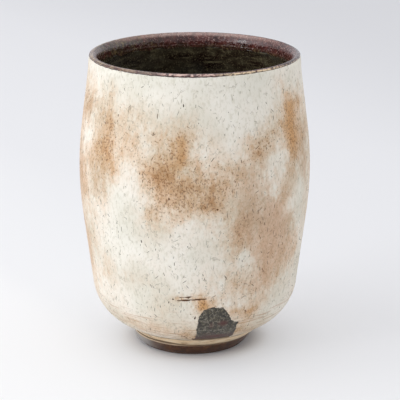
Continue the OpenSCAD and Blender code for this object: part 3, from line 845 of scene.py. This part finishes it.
skin_z, core_z = np.linspace(1.0, FOOT_H - LEDGE_ROUND, 22), np.linspace(1.0, FOOT_H - 0.45, 8)
ledge_r = foot_line(FOOT_H)
foot_out = np.c_[foot_line(skin_z), skin_z]
ledge = arc((ledge_r - 0.31, FOOT_H - LEDGE_ROUND), LEDGE_ROUND, 0.1, pi / 2, 6)
foot_in = [(ledge_r - LEDGE_IN, FOOT_H), (ledge_r - LEDGE_IN, FOOT_H - FOOT_GLAZE)]
foot_core = np.c_[foot_line(core_z, FOOT_GLAZE), core_z]
foot_skin = throw("foot_skin", [foot_out, ledge, foot_in, foot_core[::-1]], foot_glaze, **FRONT_FINE, **TRIMMED,
                  lines=0.16 * MM, line_pitch=0.8 * MM)
recess_r = foot_r - RING_THICK
recess_top = (recess_r - 1.1, FOOT_H)
rest = [arc((recess_r + EDGE_R, EDGE_R), EDGE_R, pi, 1.5 * pi, 6),
        arc((foot_r - FOOT_GLAZE - EDGE_R, EDGE_R), EDGE_R, -pi / 2, 0, 6)]
foot_clay = throw("foot_clay", [[recess_top], *rest, foot_core], clay, columns=240, **TRIMMED)

# %% Lean the foot, and stain its glaze
FOOT_LEAN = 0.45
# Grey patches on the foot's glaze: the one at the left is a painted reflection, the one behind is a fainter grey.
GREY_PATCHES_AND_REFLECTION = [(-66, 2.4, 24, 3.0, 0.8), (128, 2.5, 30, 2, 0.4)]
for piece in (foot_clay, foot_skin):
    _, _, z_k, co_k = places(piece)
    co_k[:, 0] += FOOT_LEAN * ease(z_k, 1.5, FOOT_H)
    set_places(piece, co_k)
turn_k, _, z_k, co_k = places(foot_skin)
stain(foot_skin, "thin", ease(z_k, FOOT_H - 0.45, FOOT_H - 0.15) * (0.85 + 0.4 * cloud(co_k, 2.5, 41, 2))
      * (0.3 + 0.7 * ease(-turn_k, -4, 18)))
stain(foot_skin, "ash", ovals(GREY_PATCHES_AND_REFLECTION, turn_k + 4 * cloud(co_k, 3, 43), z_k, 1.6))

# %% The finish of the body, which the CAD model keeps
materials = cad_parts["clay_body"].data.materials
materials.clear()
materials.append(clay.material)

# %% [markdown]
# ## Iron specks
#
# Grains of iron in the clay melt and bleed through the slip as small dark dashes, most of them upright because the
# slip ran down round them. There are some three thousand, so a node tree scatters them over the wall: a small flat
# grain, turned, sized and shaded at random from a fixed seed. It runs a second time for a few larger, darker spots.

# %% The scatter of specks
specks, given = node_tree("iron_specks", {
    "Per square metre": 300000.0, "Width": 0.125 * MM, "Length": 0.48 * MM, "Stand": 0.03 * MM,
    "Palest": 1.0, "Seed": 5, "Material": ""})
put, calc = partial(add, specks), partial(maths, specks)
wall_mask = put("GeometryNodeInputNamedAttribute", {"Name": "speckle"})
dots = put("GeometryNodeDistributePointsOnFaces", {
    "Mesh": given["Geometry"], "Density": calc("MULTIPLY", wall_mask, given["Per square metre"]),
    "Seed": given["Seed"]})


def chance(low, high, shift):
    return put("FunctionNodeRandomValue", {
        2: low, 3: high, "ID": put("GeometryNodeInputIndex"),
        "Seed": calc("ADD", given["Seed"], shift)}).outputs[1]


tilt = calc("MULTIPLY", calc("POWER", chance(-1.0, 1.0, 1), 3.0), 1.3)
upright = put("ShaderNodeVectorRotate", {
    "Vector": (0.0, 0.0, 1.0), "Axis": dots.outputs["Normal"], "Angle": tilt})
facing = put("FunctionNodeAxesToRotation", {0: dots.outputs["Normal"], 1: upright},
             primary_axis="Y", secondary_axis="Z")
stretch = calc("ADD", 0.35, calc("POWER", chance(0.0, 1.3, 2), 2.5))
size = put("ShaderNodeCombineXYZ", {
    0: calc("MULTIPLY", given["Width"], chance(0.5, 1.25, 3)), 1: given["Stand"],
    2: calc("MULTIPLY", given["Length"], stretch)})
grain_shape = put("GeometryNodeMeshUVSphere", {"Segments": 6, "Rings": 3})
scattered = put("GeometryNodeInstanceOnPoints", {
    "Points": dots.outputs["Points"], "Instance": grain_shape, "Rotation": facing, "Scale": size})
shaded = put("GeometryNodeStoreNamedAttribute", {
    0: scattered, "Name": "shade", "Value": chance(0.0, given["Palest"], 4)}, domain="INSTANCE")
finish_tree(specks, put("GeometryNodeSetShadeSmooth", {0: shaded}), given["Material"])
print("the scatter has", len(specks.nodes), "nodes")

# %% The specks' finish, and where on the wall they may lie
iron = Finish("iron_speck", Roughness=0.8, Specular_IOR_Level=0.15)
iron.base = iron.ramp(iron.value("shade"), (0.0, "2C2018"), (0.07, "6A5D4B"), (0.28, "98907F"), (1.0, "C4C0B2"))
iron.lay("74502F", iron.span(iron.value("blush"), 0.05, 0.6, 0.0, 0.8))
iron.lay("57402F", iron.span(iron.noise(0.5), 0.4, 0.7, 0.0, 0.4))
iron.done()
clear = outer & (inside >= 0.5) & (z_s >= 9) & (z_s <= SWELLS[1])
stain(slip_wall, "speckle", clear * (0.35 + 0.65 * ease(cloud(co_s, 12, 31), -0.5, 0.5)) * (0.6 + 0.4 * blushed))

# %% Scatter the specks and the spots
GRAIN_FACES = 18


def scatter(name, **sizes):
    piece = new_piece(name, ())
    piece.data = slip_wall.data.copy()
    run_tree(piece, specks, iron, **sizes)
    print(name, len(piece.data.polygons) // GRAIN_FACES, "grains")
    return piece


iron_specks = scatter("iron_specks")
iron_spots = scatter("iron_spots", per_square_metre=2600.0, width=0.3 * MM, length=0.42 * MM, stand=0.05 * MM,
                     palest=0.04, seed=9)

# %% [markdown]
# ## What each piece stands for
#
# Every piece rides on the cup's one body. A piece that stands for a CAD solid hides that solid, and a print names it
# and the finish that the part's record gives the piece.

# %% Riders, finishes and replaced solids
for piece, finish, node in (
        (slip_wall, "white_slip", "slip_coat"), (finger_patch, "green_black_glaze", "finger_mark"),
        (lip_roll, "red_brown_glaze", "lip_glaze"), (inside_glaze, "olive_black_glaze", "liner_glaze"),
        (band_glaze, "ochre_band", "trimmed_band"), (foot_skin, "iron_glaze", "foot_glaze"),
        (foot_clay, "foot_clay", "foot_ring"), (iron_specks, "dark_clay", None), (iron_spots, "dark_clay", None)):
    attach(piece, "root")
    if node:
        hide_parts(node)
    print(piece.name, "wears", finish, "and replaces", node)

# %% [markdown]
# ## The table, the light and the camera
#
# The floor is pale, and its plain colour is painted darker to the right and the back, a painted falloff of light as on
# a paper sweep. A large soft lamp stands at the left, a weak one at the right, a wide one above, and a small one at the
# left makes the highlights. The camera sees the surroundings, and the floor in part, as a plain colour that no lamp
# changes. So do the rays that a glaze sends on, so the glazes reflect what the picture shows. Close to the foot the
# floor is left to the lamps and keeps its shadow.


# %% Which rays see the background itself
def sees_background(tree):
    """1 for the camera's rays and for those that a glaze or a glass sends on."""
    rays = add(tree, "ShaderNodeLightPath")
    sent_on = maths(tree, "MAXIMUM", rays.outputs["Is Glossy Ray"], rays.outputs["Is Transmission Ray"])
    return maths(tree, "MAXIMUM", rays.outputs["Is Camera Ray"], sent_on)


# %% Floor
FLOOR_R, FLOOR_SIDES, PLAIN_SHARE, SHADOW = 4.0, 96, 0.45, (0.019, 0.029)
ground = Finish("pale_floor", Roughness=0.9, Specular_IOR_Level=0.2, Base_Color=colour("E8E8EA"))
split = ground.put("ShaderNodeSeparateXYZ", {0: ground.spot})
# Painted falloff of light: the floor's plain colour is darker towards the right and the back.
back = ground.do("MULTIPLY_ADD", split.outputs["X"], 1.6, split.outputs["Y"])
painted_falloff_colour = ground.ramp(ground.span(back, -0.1, 0.8), (0.0, "FCFCFC"), (0.01, "F0F1F3"), (0.156, "E1E2E6"),
                   (0.575, "D9DADF"), (1.0, "BEBFC5"))
lit = ground.put("ShaderNodeEmission", {"Color": painted_falloff_colour})
from_cup = ground.put("ShaderNodeVectorMath", {0: ground.spot}, operation="LENGTH").outputs["Value"]
share = ground.times(sees_background(ground.tree), ground.span(from_cup, *SHADOW, 0.0, PLAIN_SHARE))
both = ground.put("ShaderNodeMixShader", {0: share, 1: ground.shader, 2: lit})
ground.tree.links.new(both.outputs[0], ground.tree.nodes["Material Output"].inputs["Surface"])
turns = np.linspace(0, 2 * pi, FLOOR_SIDES + 1)[:-1]
floor_disc = new_piece("floor_disc", [(FLOOR_R * cos(a), FLOOR_R * sin(a), 0) for a in turns],
                       (), [tuple(range(FLOOR_SIDES))])
floor_disc.data.materials.append(ground.material)
print("floor:", 2 * FLOOR_R, "m across")


# %% Lamps and surroundings
def soft_lamp(name, spot, aim, width, watts, tint=(1, 1, 1)):
    lamp = bpy.data.lights.new(name, "AREA")
    lamp.shape, lamp.size, lamp.energy, lamp.color = "DISK", width, watts, tint
    holder = bpy.data.objects.new(name, lamp)
    holder.location = spot
    holder.rotation_euler = (Vector(aim) - Vector(spot)).to_track_quat("-Z", "Y").to_euler()
    scene.collection.objects.link(holder)
    print(name, "gives", watts, "W")


soft_lamp("left_lamp", (-1.41, -0.4, 0.64), (0, 0, 0.05), 1.7, 9.5, (0.965, 0.985, 1.03))
soft_lamp("right_fill", (1.4, 0.1, 0.5), (0, 0, 0.05), 1.4, 2.2)
soft_lamp("top_lamp", (-0.2, 0.1, 1.4), (0, 0, 0), 1.6, 9.4)
soft_lamp("small_lamp", (-1.1, -0.67, 0.42), (0, 0, 0.09), 0.34, 2.6, (0.98, 0.99, 1.01))
scene.world = world = bpy.data.worlds.new("pale_room")
world.use_nodes = True
room = world.node_tree
room.nodes.clear()
dim = add(room, "ShaderNodeBackground", {"Color": colour("F2F3F6"), "Strength": 0.68})
plain = add(room, "ShaderNodeBackground", {"Color": colour("E2E3E8")})
add(room, "ShaderNodeOutputWorld", {0: add(room, "ShaderNodeMixShader", {0: sees_background(room), 1: dim, 2: plain})})
scene.view_settings.view_transform = "Standard"

# %% Camera
CAMERA_DOWN, CAMERA_ROLL = 16.624, -0.178
lens = bpy.data.cameras.new("camera")
lens.lens, lens.sensor_width, lens.clip_start = 157.4, 36.0, 0.01
camera = bpy.data.objects.new("camera", lens)
camera.location = (0, -0.5872, 0.2258)
camera.rotation_euler = (radians(90 - CAMERA_DOWN), 0, radians(CAMERA_ROLL))
scene.collection.objects.link(camera)
scene.camera = camera
print("camera looks down by", CAMERA_DOWN, "degrees")
